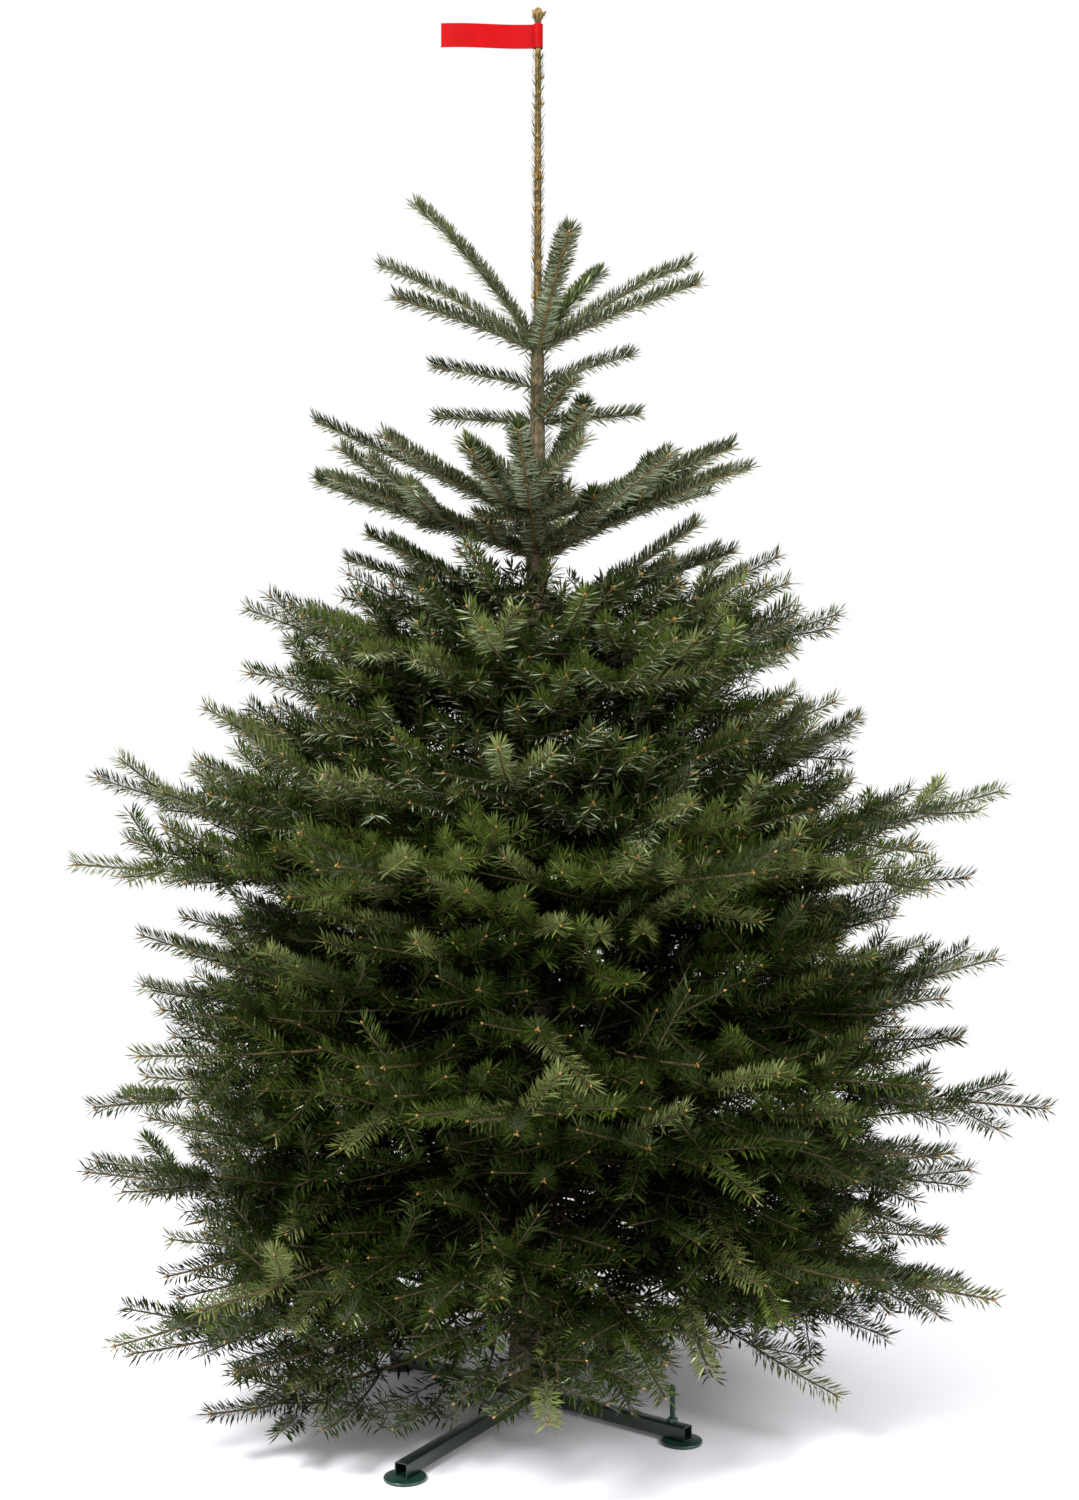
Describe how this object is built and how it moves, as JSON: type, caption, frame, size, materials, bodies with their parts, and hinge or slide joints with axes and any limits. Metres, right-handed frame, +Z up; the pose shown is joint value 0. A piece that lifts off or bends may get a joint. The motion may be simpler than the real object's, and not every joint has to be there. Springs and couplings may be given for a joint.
{
  "type": "cut christmas tree in a cross stand",
  "caption": "Cut fir tree with whorled boughs of dense needles, a tall bare leader with a blank flag, standing on a low four-armed steel cross stand.",
  "frame": {"origin": "on the floor under the stand's feet, at the middle of the whole tree's bounding box", "axes": "+Z up along the trunk, +Y towards the back as seen from the front view, +X to the right of that view"},
  "size_m": [1.4346, 1.229, 2.1],
  "materials": {
    "bark": "matte",
    "young_needles": "satin",
    "upper_needles": "satin",
    "lower_needles": "satin",
    "stand_paint": "gloss",
    "foot_paint": "satin",
    "screw_steel": "satin",
    "label_paper": "matte"
  },
  "bodies": {
    "root": {"bottom_whorl_1": "lower_needles", "bottom_whorl_2": "lower_needles", "bottom_whorl_3": "lower_needles", "bottom_whorl_4": "lower_needles", "bottom_whorl_5": "lower_needles", "bottom_whorl_6": "lower_needles", "cross_frame": "stand_paint", "fifth_whorl_1": "lower_needles", "fifth_whorl_2": "lower_needles", "fifth_whorl_3": "lower_needles", "fifth_whorl_4": "lower_needles", "fifth_whorl_5": "lower_needles", "fifth_whorl_6": "lower_needles", "flag": "label_paper", "foot_1": "foot_paint", "foot_2": "foot_paint", "foot_3": "foot_paint", "foot_4": "foot_paint", "fourth_whorl_1": "lower_needles", "fourth_whorl_2": "lower_needles", "fourth_whorl_3": "lower_needles", "fourth_whorl_4": "lower_needles", "fourth_whorl_5": "lower_needles", "fourth_whorl_6": "lower_needles", "fourth_whorl_7": "lower_needles", "levelling_screw": "screw_steel", "lower_spray_1": "young_needles", "lower_spray_2": "young_needles", "lower_spray_3": "young_needles", "pin_plate": "stand_paint", "second_whorl_1": "upper_needles", "second_whorl_2": "upper_needles", "second_whorl_3": "upper_needles", "second_whorl_4": "upper_needles", "second_whorl_5": "upper_needles", "second_whorl_6": "upper_needles", "second_whorl_bough_1": "bark", "second_whorl_bough_2": "bark", "second_whorl_bough_3": "bark", "second_whorl_bough_4": "bark", "second_whorl_bough_5": "bark", "second_whorl_bough_6": "bark", "short_bough_1": "upper_needles", "short_bough_2": "upper_needles", "third_whorl_1": "upper_needles", "third_whorl_2": "upper_needles", "third_whorl_3": "upper_needles", "third_whorl_4": "upper_needles", "third_whorl_5": "upper_needles", "third_whorl_6": "upper_needles", "top_shoot_1": "young_needles", "top_shoot_2": "young_needles", "top_shoot_3": "young_needles", "top_shoot_4": "young_needles", "top_shoot_5": "young_needles", "top_shoot_6": "young_needles", "top_shoot_7": "young_needles", "trunk": "bark", "upper_spray_1": "young_needles", "upper_spray_2": "young_needles"}
  },
  "joints": []
}
